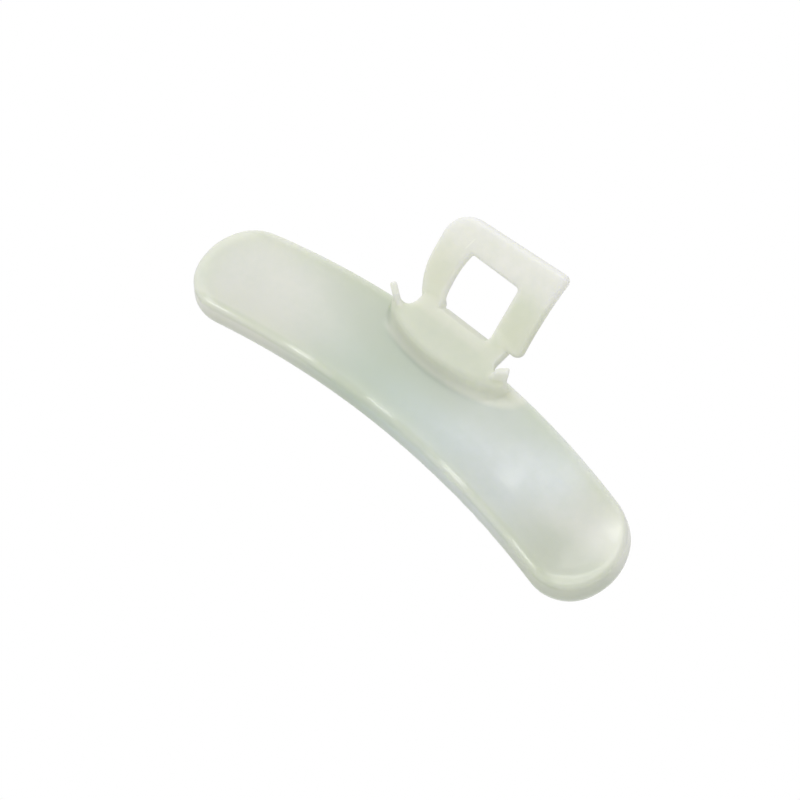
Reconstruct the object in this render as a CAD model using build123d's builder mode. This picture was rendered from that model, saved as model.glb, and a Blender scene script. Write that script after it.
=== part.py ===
import os
from math import cos, radians, sin, tan

from build123d import *

# Door handle of a front-loading washing machine: a curved grip with a dished
# back face, a half-oval collar that stands on its middle with a horn at each
# end, and a sloping loop behind it whose window takes the latch hook.
# The whole handle is one moulding. It lies on the flat of its outer face, so
# its door side looks up: X runs along the grip and Y from the grip to the loop.
# While it is built, Y is measured from the middle of the grip's convex side. At
# the end it moves along Y, so that the origin is under its middle.

# Grip outline where the grip is widest, seen from above: four arcs from the
# middle of the convex side round to the concave one.
crest_radius = 253.4
crest_half_angle = 14.57
shoulder_radius = 14.56
shoulder_angle = 46.4
tip_radius = 17.75
tip_angle = 54.5
heel_radius = 12.28
heel_angle = 77.2

# Grip, seen from its end.
grip_thickness = 11.3
widest_height = 6.0
back_draft = 9.0
front_edge_radius = 5.7
back_edge_radius = 0.9

# Dish in the grip's back face.
dish_depth = 1.4
dish_half_width = 13.1
dish_path_radius = 258.8
dish_half_angle = 13.2
dish_middle = 15.7

# Neck: a half-oval collar on the grip's back face, and a plate from its flat
# rear face to the loop.
neck_middle = -0.5
neck_top = 16.0
collar_half_width = 20.8
collar_reach = 10.6
collar_rear = 3.0
ridge_radius = 2.0
foot_radius = 3.4
foot_embed = 0.5
neck_plate_thickness = 3.6
neck_plate_half_width = 14.6
neck_plate_end = 5.2
neck_plate_embed = 0.6
neck_flare_radius = 2.4

# Horns: an upright fin at each end of the collar, turned outwards.
horn_tip_x = 21.4
horn_tip_y = -2.0
horn_tip_height = 21.0
horn_turn = 33.7
horn_thickness = 1.9
horn_length = 4.0
horn_fall = 1.2
horn_foot_length = 7.0
horn_lean = 2.3
horn_root_height = 9.5
horn_corner_radius = 0.6
horn_edge_radius = 0.5

# Loop: a flat frame in a plane that slopes up from the neck.
loop_slope = 38.5
loop_plane_height = 13.0
loop_thickness = 3.4
loop_right_lean = 0.9
loop_root = 1.0
loop_top = 31.05
loop_top_fall = 1.95
loop_round_corner = 8.5
loop_small_corner = 1.8
left_arm_root_width = 5.1
left_arm_bend = 5.5
left_arm_bend_start = 15.0
right_arm_root_width = 5.1
right_arm_foot_width = 5.2
right_arm_foot = 4.9
right_arm_bow = 0.6
loop_root_corner = 1.4
loop_edge_radius = 1.1
window_bottom = 3.3
window_top = 20.7
window_half_width = 8.5
window_bow = 1.3
window_small_corner = 0.9
window_large_corner = 1.5

slope = radians(loop_slope)
back_inset = (grip_thickness - widest_height) * tan(radians(back_draft))


def round_corners(sketch, corners):
    for place, radius in corners:
        fillet(sketch.vertices().sort_by_distance(place)[0], radius)


def edges_at(shape, plane, height):
    return [
        edge
        for edge in shape.edges()
        if all(abs(plane.to_local_coords(edge @ t).Z - height) < 0.001 for t in (0, 0.5, 1))
    ]


# Right horn, an upright fin with rounded edges.
turn = radians(horn_turn)
horn_plane = Plane(
    origin=(horn_tip_x, horn_tip_y, 0),
    x_dir=(cos(turn), sin(turn), 0),
    z_dir=(sin(turn), -cos(turn), 0),
)
with BuildPart() as horn:
    with BuildSketch(horn_plane) as horn_outline:
        Polygon(
            (0, horn_tip_height),
            (-horn_length, horn_tip_height - horn_fall),
            (-horn_foot_length, neck_top - ridge_radius),
            (-horn_foot_length, horn_root_height),
            (-horn_lean, horn_root_height),
            align=None,
        )
        round_corners(horn_outline, [
            ((0, horn_tip_height), horn_corner_radius),
            ((-horn_length, horn_tip_height - horn_fall), horn_corner_radius),
        ])
    extrude(amount=horn_thickness / 2, both=True)
    for face in (-horn_thickness / 2, horn_thickness / 2):
        fillet(edges_at(horn, horn_plane, face), horn_edge_radius)

# Loop frame, with its window and rounded edges.
loop_plane = Plane(
    origin=(neck_middle, -back_inset, loop_plane_height),
    x_dir=(1, 0, 0),
    z_dir=(0, -sin(slope), cos(slope)),
)
left_arm_root = window_half_width + left_arm_root_width
right_arm_root = window_half_width + right_arm_root_width
loop_left_reach = left_arm_root + left_arm_bend
loop_right_reach = right_arm_root + right_arm_foot_width
loop_top_left = (-loop_left_reach, loop_top - loop_top_fall)
loop_top_right = (loop_right_reach + loop_right_lean, loop_top)
with BuildPart() as loop:
    with BuildSketch(loop_plane) as loop_outline:
        with BuildLine():
            left_bend = TangentArc(
                (-loop_left_reach, left_arm_bend_start),
                (-left_arm_root, loop_root),
                tangent=(0, -1),
            )
            Polyline(
                left_bend @ 1,
                (right_arm_root, loop_root),
                (right_arm_root, right_arm_foot),
                (loop_right_reach, right_arm_foot),
            )
            ThreePointArc(
                (loop_right_reach, right_arm_foot),
                (
                    loop_right_reach + loop_right_lean / 2 - right_arm_bow,
                    (right_arm_foot + loop_top) / 2,
                ),
                loop_top_right,
            )
            Polyline(loop_top_right, loop_top_left, left_bend @ 0)
        make_face()
        round_corners(loop_outline, [
            (loop_top_left, loop_round_corner),
            (loop_top_right, loop_small_corner),
            ((loop_right_reach, right_arm_foot), loop_small_corner),
            ((right_arm_root, right_arm_foot), loop_root_corner),
            ((right_arm_root, loop_root), loop_root_corner),
            ((-left_arm_root, loop_root), loop_root_corner),
        ])
    extrude(amount=-loop_thickness)
    with BuildSketch(loop_plane) as window:
        with BuildLine():
            bow = ThreePointArc(
                (-window_half_width, window_top),
                (-window_half_width - window_bow, (window_top + window_bottom) / 2),
                (-window_half_width, window_bottom),
            )
            Polyline(
                bow @ 1,
                (window_half_width, window_bottom),
                (window_half_width, window_top),
                bow @ 0,
            )
        make_face()
        round_corners(window, [
            ((window_half_width, window_top), window_small_corner),
            ((-window_half_width, window_bottom), window_small_corner),
            ((window_half_width, window_bottom), window_large_corner),
            ((-window_half_width, window_top), window_large_corner),
        ])
    extrude(amount=-loop_thickness, mode=Mode.SUBTRACT)
    fillet(edges_at(loop, loop_plane, 0), loop_edge_radius)
    fillet(edges_at(loop, loop_plane, -loop_thickness), loop_edge_radius)

# Collar with its rounded ridge, and a hollow foot swept round it.
foot_height = grip_thickness - dish_depth
with BuildPart() as collar:
    with BuildSketch(Plane((neck_middle, -collar_rear, foot_height))):
        with BuildLine() as collar_front:
            EllipticalCenterArc(
                (0, 0),
                collar_half_width,
                collar_reach - collar_rear,
                start_angle=180,
                arc_size=180,
            )
            Line(collar_front.line @ 1, collar_front.line @ 0)
        make_face()
    extrude(amount=neck_top - foot_height)
    fillet(
        collar.edges().group_by(Axis.Z)[-1].sort_by(Axis.Y)[0],
        ridge_radius,
    )
    with BuildLine(Plane((neck_middle, -collar_rear, foot_height))) as foot_path:
        EllipticalCenterArc(
            (0, 0),
            collar_half_width,
            collar_reach - collar_rear,
            start_angle=180,
            arc_size=180,
        )
    foot_plane = Plane(
        origin=foot_path.line @ 0,
        x_dir=(-1, 0, 0),
        z_dir=-(foot_path.line % 0),
    )
    with BuildSketch(foot_plane):
        with BuildLine():
            hollow = RadiusArc((foot_radius, 0), (0, foot_radius), foot_radius)
            Polyline(
                hollow @ 1,
                (-foot_embed, foot_radius),
                (-foot_embed, -foot_embed),
                (foot_radius, -foot_embed),
                hollow @ 0,
            )
        make_face()
    sweep(path=foot_path.line)

with BuildPart() as handle:
    # Grip: drafted upwards and straight downwards from where it is widest.
    with BuildSketch(Plane.XY.offset(widest_height)) as grip_outline:
        with BuildLine():
            crest = JernArc((0, 0), (-1, 0), crest_radius, crest_half_angle)
            shoulder = JernArc(crest @ 1, crest % 1, shoulder_radius, shoulder_angle)
            tip = JernArc(shoulder @ 1, shoulder % 1, tip_radius, tip_angle)
            heel = JernArc(tip @ 1, tip % 1, heel_radius, heel_angle)
            mirror(about=Plane.YZ)
            palm = TangentArc(
                heel @ 1,
                (-(heel @ 1).X, (heel @ 1).Y),
                tangent=heel % 1,
            )
        make_face()
    extrude(amount=grip_thickness - widest_height, taper=back_draft)
    fillet(edges_at(handle, Plane.XY, grip_thickness), back_edge_radius)
    with BuildSketch(Plane.XY.offset(widest_height)):
        add(grip_outline.sketch_local)
    extrude(amount=-widest_height)
    fillet(edges_at(handle, Plane.XY, 0), front_edge_radius)

    # Dish: a ring-shaped scoop along the grip, with a round one at each end.
    dish_radius = (dish_half_width**2 + dish_depth**2) / (2 * dish_depth)
    dish_height = grip_thickness - dish_depth + dish_radius
    dish_end = radians(dish_half_angle)
    dish_end_x = dish_path_radius * sin(dish_end)
    dish_end_y = -dish_middle - dish_path_radius * (1 - cos(dish_end))
    with Locations((0, -dish_middle - dish_path_radius, dish_height)):
        Torus(
            dish_path_radius,
            dish_radius,
            major_angle=2 * dish_half_angle,
            rotation=(0, 0, 90 - dish_half_angle),
            align=None,
            mode=Mode.SUBTRACT,
        )
    with Locations((-dish_end_x, dish_end_y, dish_height), (dish_end_x, dish_end_y, dish_height)):
        Sphere(dish_radius, mode=Mode.SUBTRACT)

    # Loop, and the collar that stands in the dish.
    add(loop.part)
    add(collar.part)

    # Horns, standing on the rim where the collar ends.
    with Locations((neck_middle, 0, 0)):
        add(horn.part)
        add(horn.part.mirror(Plane.YZ))

    # Plate from the collar's rear face to the loop.
    neck_plate_root = neck_plate_half_width + neck_flare_radius + neck_plate_embed
    with BuildSketch(Plane((neck_middle, 0, neck_top))) as plate:
        Polygon(
            (-neck_plate_half_width, neck_plate_end),
            (-neck_plate_half_width, -collar_rear),
            (-neck_plate_root, -collar_rear),
            (-neck_plate_root, -collar_rear - neck_plate_embed),
            (neck_plate_root, -collar_rear - neck_plate_embed),
            (neck_plate_root, -collar_rear),
            (neck_plate_half_width, -collar_rear),
            (neck_plate_half_width, neck_plate_end),
            align=None,
        )
        round_corners(plate, [
            ((-neck_plate_half_width, -collar_rear), neck_flare_radius),
            ((neck_plate_half_width, -collar_rear), neck_flare_radius),
        ])
    extrude(amount=-neck_plate_thickness)
    with BuildSketch(loop_plane):
        add(window.sketch_local)
    extrude(amount=loop_thickness + neck_plate_thickness, both=True, mode=Mode.SUBTRACT)

handle.part.label = "handle"
handle.part.position = (0, -handle.part.bounding_box().center().Y, 0)

os.makedirs("parts", exist_ok=True)
export_step(handle.part, "parts/handle.step")
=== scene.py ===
import bpy
from mathutils import Matrix, Vector


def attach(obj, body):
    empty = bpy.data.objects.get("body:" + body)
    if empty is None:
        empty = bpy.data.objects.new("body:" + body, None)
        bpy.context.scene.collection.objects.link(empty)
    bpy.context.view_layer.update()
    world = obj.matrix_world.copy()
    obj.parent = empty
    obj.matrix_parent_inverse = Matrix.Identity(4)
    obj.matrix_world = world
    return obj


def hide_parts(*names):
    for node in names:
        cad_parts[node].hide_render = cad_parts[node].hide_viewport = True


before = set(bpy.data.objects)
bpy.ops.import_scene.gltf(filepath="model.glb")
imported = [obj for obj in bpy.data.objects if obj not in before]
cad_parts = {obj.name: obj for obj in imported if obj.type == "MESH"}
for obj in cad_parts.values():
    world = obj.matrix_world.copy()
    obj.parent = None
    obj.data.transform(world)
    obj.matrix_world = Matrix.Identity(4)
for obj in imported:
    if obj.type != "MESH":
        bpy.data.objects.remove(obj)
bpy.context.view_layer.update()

# The moulding: grip, collar, horns and loop are shot in one go in a natural,
# undyed plastic that stays milky. The mould's edges are all a little soft, and
# where two walls meet the plastic runs from one to the other in a fillet.
merge_distance = 0.000001
mesh_step = 0.00042
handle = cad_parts["handle"]
bpy.ops.object.select_all(action="DESELECT")
moulding = bpy.data.objects.new("moulding", handle.data.copy())
bpy.context.collection.objects.link(moulding)
moulding.select_set(True)
bpy.context.view_layer.objects.active = moulding
bpy.ops.object.mode_set(mode="EDIT")
bpy.ops.mesh.select_all(action="SELECT")
bpy.ops.mesh.remove_doubles(threshold=merge_distance)
bpy.ops.mesh.normals_make_consistent(inside=False)
bpy.ops.object.mode_set(mode="OBJECT")


def finish_modifier(piece, kind, **settings):
    modifier = piece.modifiers.new(kind.lower(), kind)
    for name, value in settings.items():
        setattr(modifier, name, value)
    bpy.ops.object.modifier_apply(modifier=modifier.name)


# An even mesh over the same skin, so that the blends can be worked into it.
finish_modifier(moulding, "REMESH", mode="VOXEL", voxel_size=mesh_step, adaptivity=0.0)
finish_modifier(moulding, "SHRINKWRAP", target=handle, wrap_method="NEAREST_SURFACEPOINT")

# The blends: the loop's two arms flow out of the neck plate, the collar rolls
# down into the dish, and the plate's lip under the window reaches a little
# further. Each pair of numbers is where a change starts and where it is full.
neck_middle = -0.0005
arm_inner_edge = (0.0086, 0.0100)
arm_outer_edge = (0.0120, 0.0140)
arm_height = (0.0140, 0.0152)
kink_line = 0.0096
kink_reach = (0.0025, 0.0055)
collar_rear = (0.0005, 0.0045)
collar_end = (0.0160, 0.0185)
collar_height = (0.0097, 0.0103)
grip_top = (0.0106, 0.0112)
lip_reach = 0.0006
lip_front = (0.0062, 0.0078)
lip_edge = (0.0125, 0.0130)
lip_end = (0.0075, 0.0088)
lip_bottom = (0.0118, 0.0124)
lip_top = (0.0165, 0.0175)
smoothing = 0.5
blend_passes = 80
skin_passes = 8
last_passes = 2


def ramp(value, start, full):
    return min(1.0, max(0.0, (value - start) / (full - start)))


arm_roots = moulding.vertex_groups.new(name="arm_roots")
collar = moulding.vertex_groups.new(name="collar")
grip_skin = moulding.vertex_groups.new(name="grip_skin")
for vertex in moulding.data.vertices:
    x, y, z = vertex.co
    off_middle = abs(x - neck_middle)
    on_arm = ramp(off_middle, *arm_inner_edge) * (1 - ramp(off_middle, *arm_outer_edge))
    near_kink = 1 - ramp(abs(y - kink_line), *kink_reach)
    arm_roots.add([vertex.index], on_arm * near_kink * ramp(z, *arm_height), "REPLACE")
    on_collar = (1 - ramp(y, *collar_rear)) * (1 - ramp(off_middle, *collar_end))
    collar.add([vertex.index], on_collar * ramp(z, *collar_height), "REPLACE")
    grip_skin.add([vertex.index], 1 - ramp(z, *grip_top), "REPLACE")
    on_lip = ramp(y, *lip_front) * (1 - ramp(y, *lip_edge)) * (1 - ramp(off_middle, *lip_end))
    vertex.co.y += lip_reach * on_lip * ramp(z, *lip_bottom) * (1 - ramp(z, *lip_top))
for group, passes in (
    ("arm_roots", blend_passes),
    ("collar", blend_passes),
    ("grip_skin", skin_passes),
    ("", last_passes),
):
    finish_modifier(moulding, "SMOOTH", factor=smoothing, iterations=passes, vertex_group=group)
moulding.vertex_groups.clear()
bpy.ops.object.shade_smooth()
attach(moulding, "root")
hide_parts("handle")


class Socket:
    """A node's output that Python's own operators do sums on."""

    def __init__(self, tree, output):
        self.tree = tree
        self.output = output

    def node(self, kind, settings=None, **values):
        """Add a node. A value's key is its socket's name, or i and its number."""
        made = self.tree.nodes.new(kind)
        for name, value in (settings or {}).items():
            setattr(made, name, value)
        for name, value in values.items():
            key = int(name[1:]) if name[1:].isdigit() else name.replace("_", " ")
            if isinstance(value, Socket):
                self.tree.links.new(value.output, made.inputs[key])
            else:
                made.inputs[key].default_value = value
        return made

    def maths(self, operation, first, second=0.0):
        made = self.node("ShaderNodeMath", {"operation": operation}, i0=first, i1=second)
        return Socket(self.tree, made.outputs[0])

    def __add__(self, other):
        return self.maths("ADD", self, other)

    def __radd__(self, other):
        return self.maths("ADD", other, self)

    def __sub__(self, other):
        return self.maths("SUBTRACT", self, other)

    def __rsub__(self, other):
        return self.maths("SUBTRACT", other, self)

    def __mul__(self, other):
        return self.maths("MULTIPLY", self, other)

    def __rmul__(self, other):
        return self.maths("MULTIPLY", other, self)

    def __truediv__(self, other):
        return self.maths("DIVIDE", self, other)

    def __abs__(self):
        return self.maths("ABSOLUTE", self)

    def root(self):
        return self.maths("SQRT", self)

    def wave(self):
        return self.maths("COSINE", self)

    def larger(self, other):
        return self.maths("MAXIMUM", self, other)

    def within(self, start, full):
        """Rise softly from 0 at start to 1 at full."""
        made = self.node(
            "ShaderNodeMapRange",
            {"interpolation_type": "SMOOTHSTEP"},
            Value=self,
            From_Min=start,
            From_Max=full,
        )
        return Socket(self.tree, made.outputs[0])

    def tint(self, first, second):
        """Mix two colours: the first at 0, the second at 1."""
        made = self.node("ShaderNodeMix", {"data_type": "RGBA"}, i0=self, i6=first, i7=second)
        return Socket(self.tree, made.outputs[2])


# The plastic's colour: undyed, so it comes from how thick the wall is. The ends
# and thin walls are warm, and the middle is cooler and greener. Each pair of
# numbers is where a change of tint starts and where it is full.
bone = (0.72, 0.73, 0.665, 1)
cool = (0.66, 0.70, 0.685, 1)
green = (0.55, 0.62, 0.535, 1)
# The olive tint stands for painted shade wherever it is laid on.
shade_olive = (0.48, 0.53, 0.41, 1)
ice = (0.62, 0.70, 0.70, 1)
painted_lift = (0.76, 0.80, 0.80, 1)
plastic = bpy.data.materials.new("milky_plastic")
plastic.use_nodes = True
tree = plastic.node_tree
shader = tree.nodes["Principled BSDF"]
place = Socket(tree, tree.nodes.new("ShaderNodeTexCoord").outputs["Object"])
axes = place.node("ShaderNodeSeparateXYZ", Vector=place)
along, across, height = (Socket(tree, output) for output in axes.outputs)

cool_middle = 0.028
cool_fade = (0.010, 0.032)
right_half = 1 - abs(along - cool_middle).within(*cool_fade)
colour = right_half.tint(bone, cool)

heart_left = (-0.048, -0.008)
heart_right = (-0.004, 0.022)
heart = along.within(*heart_left) * (1 - along.within(*heart_right))
colour = heart.tint(colour, green)

ice_middle = 0.010
ice_fade = (0.006, 0.022)
ice_rear = (-0.012, -0.004)
ice_strength = 0.4
ice_patch = (1 - abs(along - ice_middle).within(*ice_fade)) * (1 - across.within(*ice_rear))
colour = (ice_patch * ice_strength).tint(colour, ice)

# Painted light: the dish's far side towards the right end is tinted paler, to lift the shade that
# falls there.
lift_left = (0.008, 0.020)
lift_right = (0.044, 0.060)
lift_front = (-0.020, -0.006)
lift_strength = 0.8
far_side_lift = along.within(*lift_left) * (1 - along.within(*lift_right)) * across.within(*lift_front)
colour = (far_side_lift * lift_strength).tint(colour, painted_lift)

# Painted shade: the right end's palm side is tinted olive, where it slopes away from the light.
right_end_left = (0.038, 0.060)
right_end_rear = (-0.021, -0.012)
right_end_shade_strength = 0.5
right_end_shade = along.within(*right_end_left) * (1 - across.within(*right_end_rear))
colour = (right_end_shade * right_end_shade_strength).tint(colour, shade_olive)

# The collar's foot: painted shade round the foot of the collar, where the plastic is also
# thickest. The foot value is 1 on the collar's half-oval outline and grows with the distance.
collar_half_width = 0.0208
collar_depth = 0.0076
collar_middle = 0.0037
back_face = (0.0085, 0.0096)
foot_spread = (1.5, 2.8)
foot_shade_strength = 0.45
reach_along = (along - neck_middle) / collar_half_width
reach_across = (across - collar_middle) / collar_depth
foot = (reach_along * reach_along + reach_across * reach_across).root()
on_back = height.within(*back_face)
colour = ((1 - foot.within(*foot_spread)) * on_back * foot_shade_strength).tint(colour, shade_olive)

# The rims: the grip's two long upper edges, which follow its curve. The one
# over the palm gets a line of painted shade, and the side walls below them get painted shade too.
palm_rim_middle = -0.0237
palm_rim_bend = 1.72
palm_rim_width = (0.0012, 0.0026)
loop_rim_middle = 0.0049
loop_rim_bend = 1.97
loop_rim_width = (0.0010, 0.0026)
loop_rim_top = (0.0116, 0.0120)
rim_height = (0.0092, 0.0108)
rim_shade_strength = 0.4
on_rim = height.within(*rim_height)
off_palm_rim = abs(across - palm_rim_middle + along * along * palm_rim_bend)
palm_rim = (1 - off_palm_rim.within(*palm_rim_width)) * on_rim
off_loop_rim = abs(across - loop_rim_middle + along * along * loop_rim_bend)
loop_rim = (1 - off_loop_rim.within(*loop_rim_width)) * on_rim
loop_rim = loop_rim * (1 - height.within(*loop_rim_top))
colour = (palm_rim * rim_shade_strength).tint(colour, shade_olive)

# Painted shade: darker towards the bottom of the side walls.
side_wall = (0.003, 0.0095)
side_shade_strength = 0.55
side = 1 - height.within(*side_wall)
colour = (side * side_shade_strength).tint(colour, shade_olive)

# Collar, arms and loop: thinner walls. The loop gets paler towards its top with
# painted light for light shining through it, and the arms' tint reaches down the
# walls behind the collar as painted light. Painted light also stands for light
# through the collar's front wall and the walls that face right.
ridge = (0.68, 0.71, 0.60, 1)
arm = (0.73, 0.745, 0.65, 1)
loop_glow = (0.835, 0.835, 0.785, 1)
glow_edge = (0.74, 0.76, 0.66, 1)
lit = (0.90, 0.91, 0.83, 1)
ridge_height = (0.0100, 0.0130)
colour = height.within(*ridge_height).tint(colour, ridge)

plate_top = (0.0155, 0.0175)
plate_rear = (0.004, 0.006)
above_grip = (0.0110, 0.0118)
behind = across.within(*plate_rear) * height.within(*above_grip)
on_arms = 1 - (1 - height.within(*plate_top)) * (1 - behind)
colour = on_arms.tint(colour, arm)

loop_height = (0.020, 0.029)
colour = height.within(*loop_height).tint(colour, loop_glow)

# Painted light: a light band on the collar's front wall, stronger towards the right.
wall_foot = 1.12
wall_width = (0.07, 0.24)
wall_left = (-0.0215, -0.0170)
wall_glow_strength = 0.75
wall_lit_left = (0.000, 0.014)
wall_lit_strength = 0.4
lit_wall = (1 - abs(foot - wall_foot).within(*wall_width)) * on_back * along.within(*wall_left)
colour = (lit_wall * wall_glow_strength).tint(colour, glow_edge)
colour = (lit_wall * along.within(*wall_lit_left) * wall_lit_strength).tint(colour, lit)

right_arm_left = (0.008, 0.010)
right_arm_top = (0.0235, 0.0275)
right_arm_strength = 0.5
right_arm = along.within(*right_arm_left) * (1 - height.within(*right_arm_top)) * behind
colour = (right_arm * right_arm_strength).tint(colour, ridge)

# Painted light on the walls that face right, clear of the dish and left of the notch.
facing_right = (0.15, 0.8)
clear_of_dish = (0.0112, 0.0124)
notch_right = (0.0148, 0.0156)
lit_strength = 0.6
normal = Socket(tree, tree.nodes.new("ShaderNodeNewGeometry").outputs["Normal"])
facing = place.node("ShaderNodeSeparateXYZ", Vector=normal)
lit_right_walls = Socket(tree, facing.outputs[0]).within(*facing_right)
lit_right_walls = lit_right_walls * height.within(*clear_of_dish) * (1 - along.within(*notch_right))
colour = (lit_right_walls * lit_strength).tint(colour, lit)

# The crease: a painted highlight along a short crease that slants off the
# window's upper left corner.
crease_start = (-0.0109, 0.0225)
crease_slant = 0.36
crease_width = (0.00008, 0.00030)
crease_front = (0.0222, 0.0228)
crease_rear = (0.0250, 0.0256)
crease_height = (0.0240, 0.0250)
crease_highlight_strength = 0.8
off_crease = abs(along - crease_start[0] - (across - crease_start[1]) * crease_slant)
on_crease = across.within(*crease_front) * (1 - across.within(*crease_rear))
crease_highlight = (1 - off_crease.within(*crease_width)) * on_crease * height.within(*crease_height)
colour = (crease_highlight * crease_highlight_strength).tint(colour, lit)


# The mottling: the resin's own flow marks, as large soft clouds and fine flecks,
# which also roughen the surface a little.
def noise(scale, detail):
    made = place.node("ShaderNodeTexNoise", Vector=place, Scale=scale, Detail=detail)
    return Socket(tree, made.outputs[0])


cloud = noise(scale=55.0, detail=3.0)
fleck = noise(scale=420.0, detail=4.0)
noise_middle = 0.5
cloud_depth = 0.6
fleck_depth = 0.35
even_depth = 0.05
mottling = (cloud - noise_middle) * cloud_depth + (fleck - noise_middle) * fleck_depth
colour = (mottling + even_depth).tint(colour, green)
tree.links.new(colour.output, shader.inputs["Base Color"])

# The finish: satin from the mould. Pulling fingers polish the rim over the palm
# in short stretches, and a patch of the dish and the right end. The polish is a
# thin coat. The collar and the loop, which fingers miss, are duller.
stretches_per_metre = 222.0
stretch_middle = -0.0019
stretch_rise = (0.0, 0.9)
stretch_polish = 0.8
dish_top = (0.0118, 0.0122)
end_polish_left = (0.060, 0.068)
end_polish = 0.55
patch_middle = (0.0380, -0.0165)
patch_size = (0.0060, 0.0120)
patch_fade = (0.0, 1.0)
patch_polish = 0.4
corner_left = (0.0155, 0.0170)
corner_height = (0.0195, 0.0230)
stretch = ((along - stretch_middle) * stretches_per_metre).wave().within(*stretch_rise)
in_dish = 1 - height.within(*dish_top)
polished_end = along.within(*end_polish_left) * in_dish
patch_along = (along - patch_middle[0]) / patch_size[0]
patch_across = (across - patch_middle[1]) / patch_size[1]
patch = (patch_along * patch_along + patch_across * patch_across).root()
patch = (1 - patch.within(*patch_fade)) * in_dish
polish = (palm_rim * stretch * stretch_polish).larger(polished_end * end_polish)
polish = polish.larger(patch * patch_polish)
tree.links.new(polish.output, shader.inputs["Coat Weight"])
shader.inputs["Coat Roughness"].default_value = 0.15

satin = 0.30
cloud_roughness = 0.08
fleck_roughness = 0.06
rim_dullness = 0.50
upper_dullness = 0.25
dull_rim = palm_rim * (1 - stretch) + loop_rim
loop_corner = along.within(*corner_left) * height.within(*corner_height)
dull_upper = height.within(*clear_of_dish) * (1 - loop_corner)
roughness = satin + cloud * cloud_roughness + fleck * fleck_roughness
roughness = roughness + dull_rim * rim_dullness + dull_upper * upper_dullness
tree.links.new(roughness.output, shader.inputs["Roughness"])
grain = place.node("ShaderNodeBump", Height=fleck, Strength=0.12, Distance=0.0002)
tree.links.new(grain.outputs[0], shader.inputs["Normal"])
shader.inputs["IOR"].default_value = 1.49
shader.inputs["Subsurface Weight"].default_value = 1.0
shader.inputs["Subsurface Radius"].default_value = (1.0, 1.0, 0.8)
shader.inputs["Subsurface Scale"].default_value = 0.006
moulding.data.materials.clear()
moulding.data.materials.append(plastic)

# The tabletop: a seamless white surface that the handle lies on. It keeps the
# handle's shadow, and it is plain white to the camera and in reflections.
table_size = 6
bpy.ops.object.select_all(action="DESELECT")
bpy.ops.mesh.primitive_plane_add(size=table_size, location=(0, 0, 0))
tabletop = bpy.context.object
tabletop.name = "tabletop"
white = bpy.data.materials.new("white_table")
white.use_nodes = True
nodes = white.node_tree.nodes
links = white.node_tree.links
table = nodes["Principled BSDF"]
table.inputs["Base Color"].default_value = (0.9, 0.9, 0.9, 1)
table.inputs["Roughness"].default_value = 0.9
table.inputs["Specular IOR Level"].default_value = 0.0
glow = nodes.new("ShaderNodeEmission")
glow.inputs["Color"].default_value = (1, 1, 1, 1)
glow.inputs["Strength"].default_value = 1.0
mix = nodes.new("ShaderNodeMixShader")
rays = nodes.new("ShaderNodeLightPath")
seen = Socket(white.node_tree, rays.outputs["Is Camera Ray"])
for kind in ("Is Glossy Ray", "Is Transmission Ray"):
    seen = seen.larger(Socket(white.node_tree, rays.outputs[kind]))
links.new(seen.output, mix.inputs[0])
links.new(table.outputs[0], mix.inputs[1])
links.new(glow.outputs[0], mix.inputs[2])
links.new(mix.outputs[0], nodes["Material Output"].inputs["Surface"])
tabletop.data.materials.append(white)

# The studio: a pale room all round, a large soft lamp overhead to the left, and
# three narrow ones that draw the lights on the rims and the right end.
room_light = 0.665
lamp_distance = 0.9
world = bpy.data.worlds.new("studio")
bpy.context.scene.world = world
world.use_nodes = True
world.node_tree.nodes["Background"].inputs["Color"].default_value = (1, 1, 1, 1)
world.node_tree.nodes["Background"].inputs["Strength"].default_value = room_light


def soft_lamp(name, direction, size, power):
    way = Vector(direction).normalized()
    bpy.ops.object.light_add(type="AREA", location=way * lamp_distance)
    lamp = bpy.context.object
    lamp.name = name
    lamp.data.shape = "RECTANGLE"
    lamp.data.size, lamp.data.size_y = size
    lamp.data.energy = power
    lamp.rotation_euler = way.to_track_quat("Z", "Y").to_euler()


soft_lamp("key_lamp", direction=(-0.38, 0.15, 0.9), size=(0.5, 0.5), power=2.0)
soft_lamp("strip_lamp", direction=(-0.32, 0.4, 0.86), size=(0.04, 0.3), power=0.3)
soft_lamp("side_lamp", direction=(-0.5, 0.1, 0.86), size=(0.05, 0.2), power=0.28)
soft_lamp("front_lamp", direction=(0.2, -0.8, 0.53), size=(0.06, 0.06), power=0.3)

# The camera: above the grip's right end and looking down, turned so that the
# grip runs from the upper left to the lower right.
lens_pixels = 1849.9
picture_pixels = 800
sensor = 36
camera_place = (0.19864, -0.14923, 0.43976)
picture_right = Vector((0.7128, 0.6917, -0.1164)).normalized()
picture_up = Vector((-0.5734, 0.6702, 0.4712))
away = picture_right.cross(picture_up).normalized()
turn = Matrix((picture_right, away.cross(picture_right), away)).transposed().to_4x4()
bpy.ops.object.camera_add()
camera = bpy.context.object
camera.data.sensor_width = sensor
camera.data.lens = sensor * lens_pixels / picture_pixels
camera.data.clip_start = 0.01
camera.data.clip_end = 20
camera.matrix_world = Matrix.Translation(camera_place) @ turn
bpy.context.scene.camera = camera
bpy.context.scene.view_settings.view_transform = "Standard"
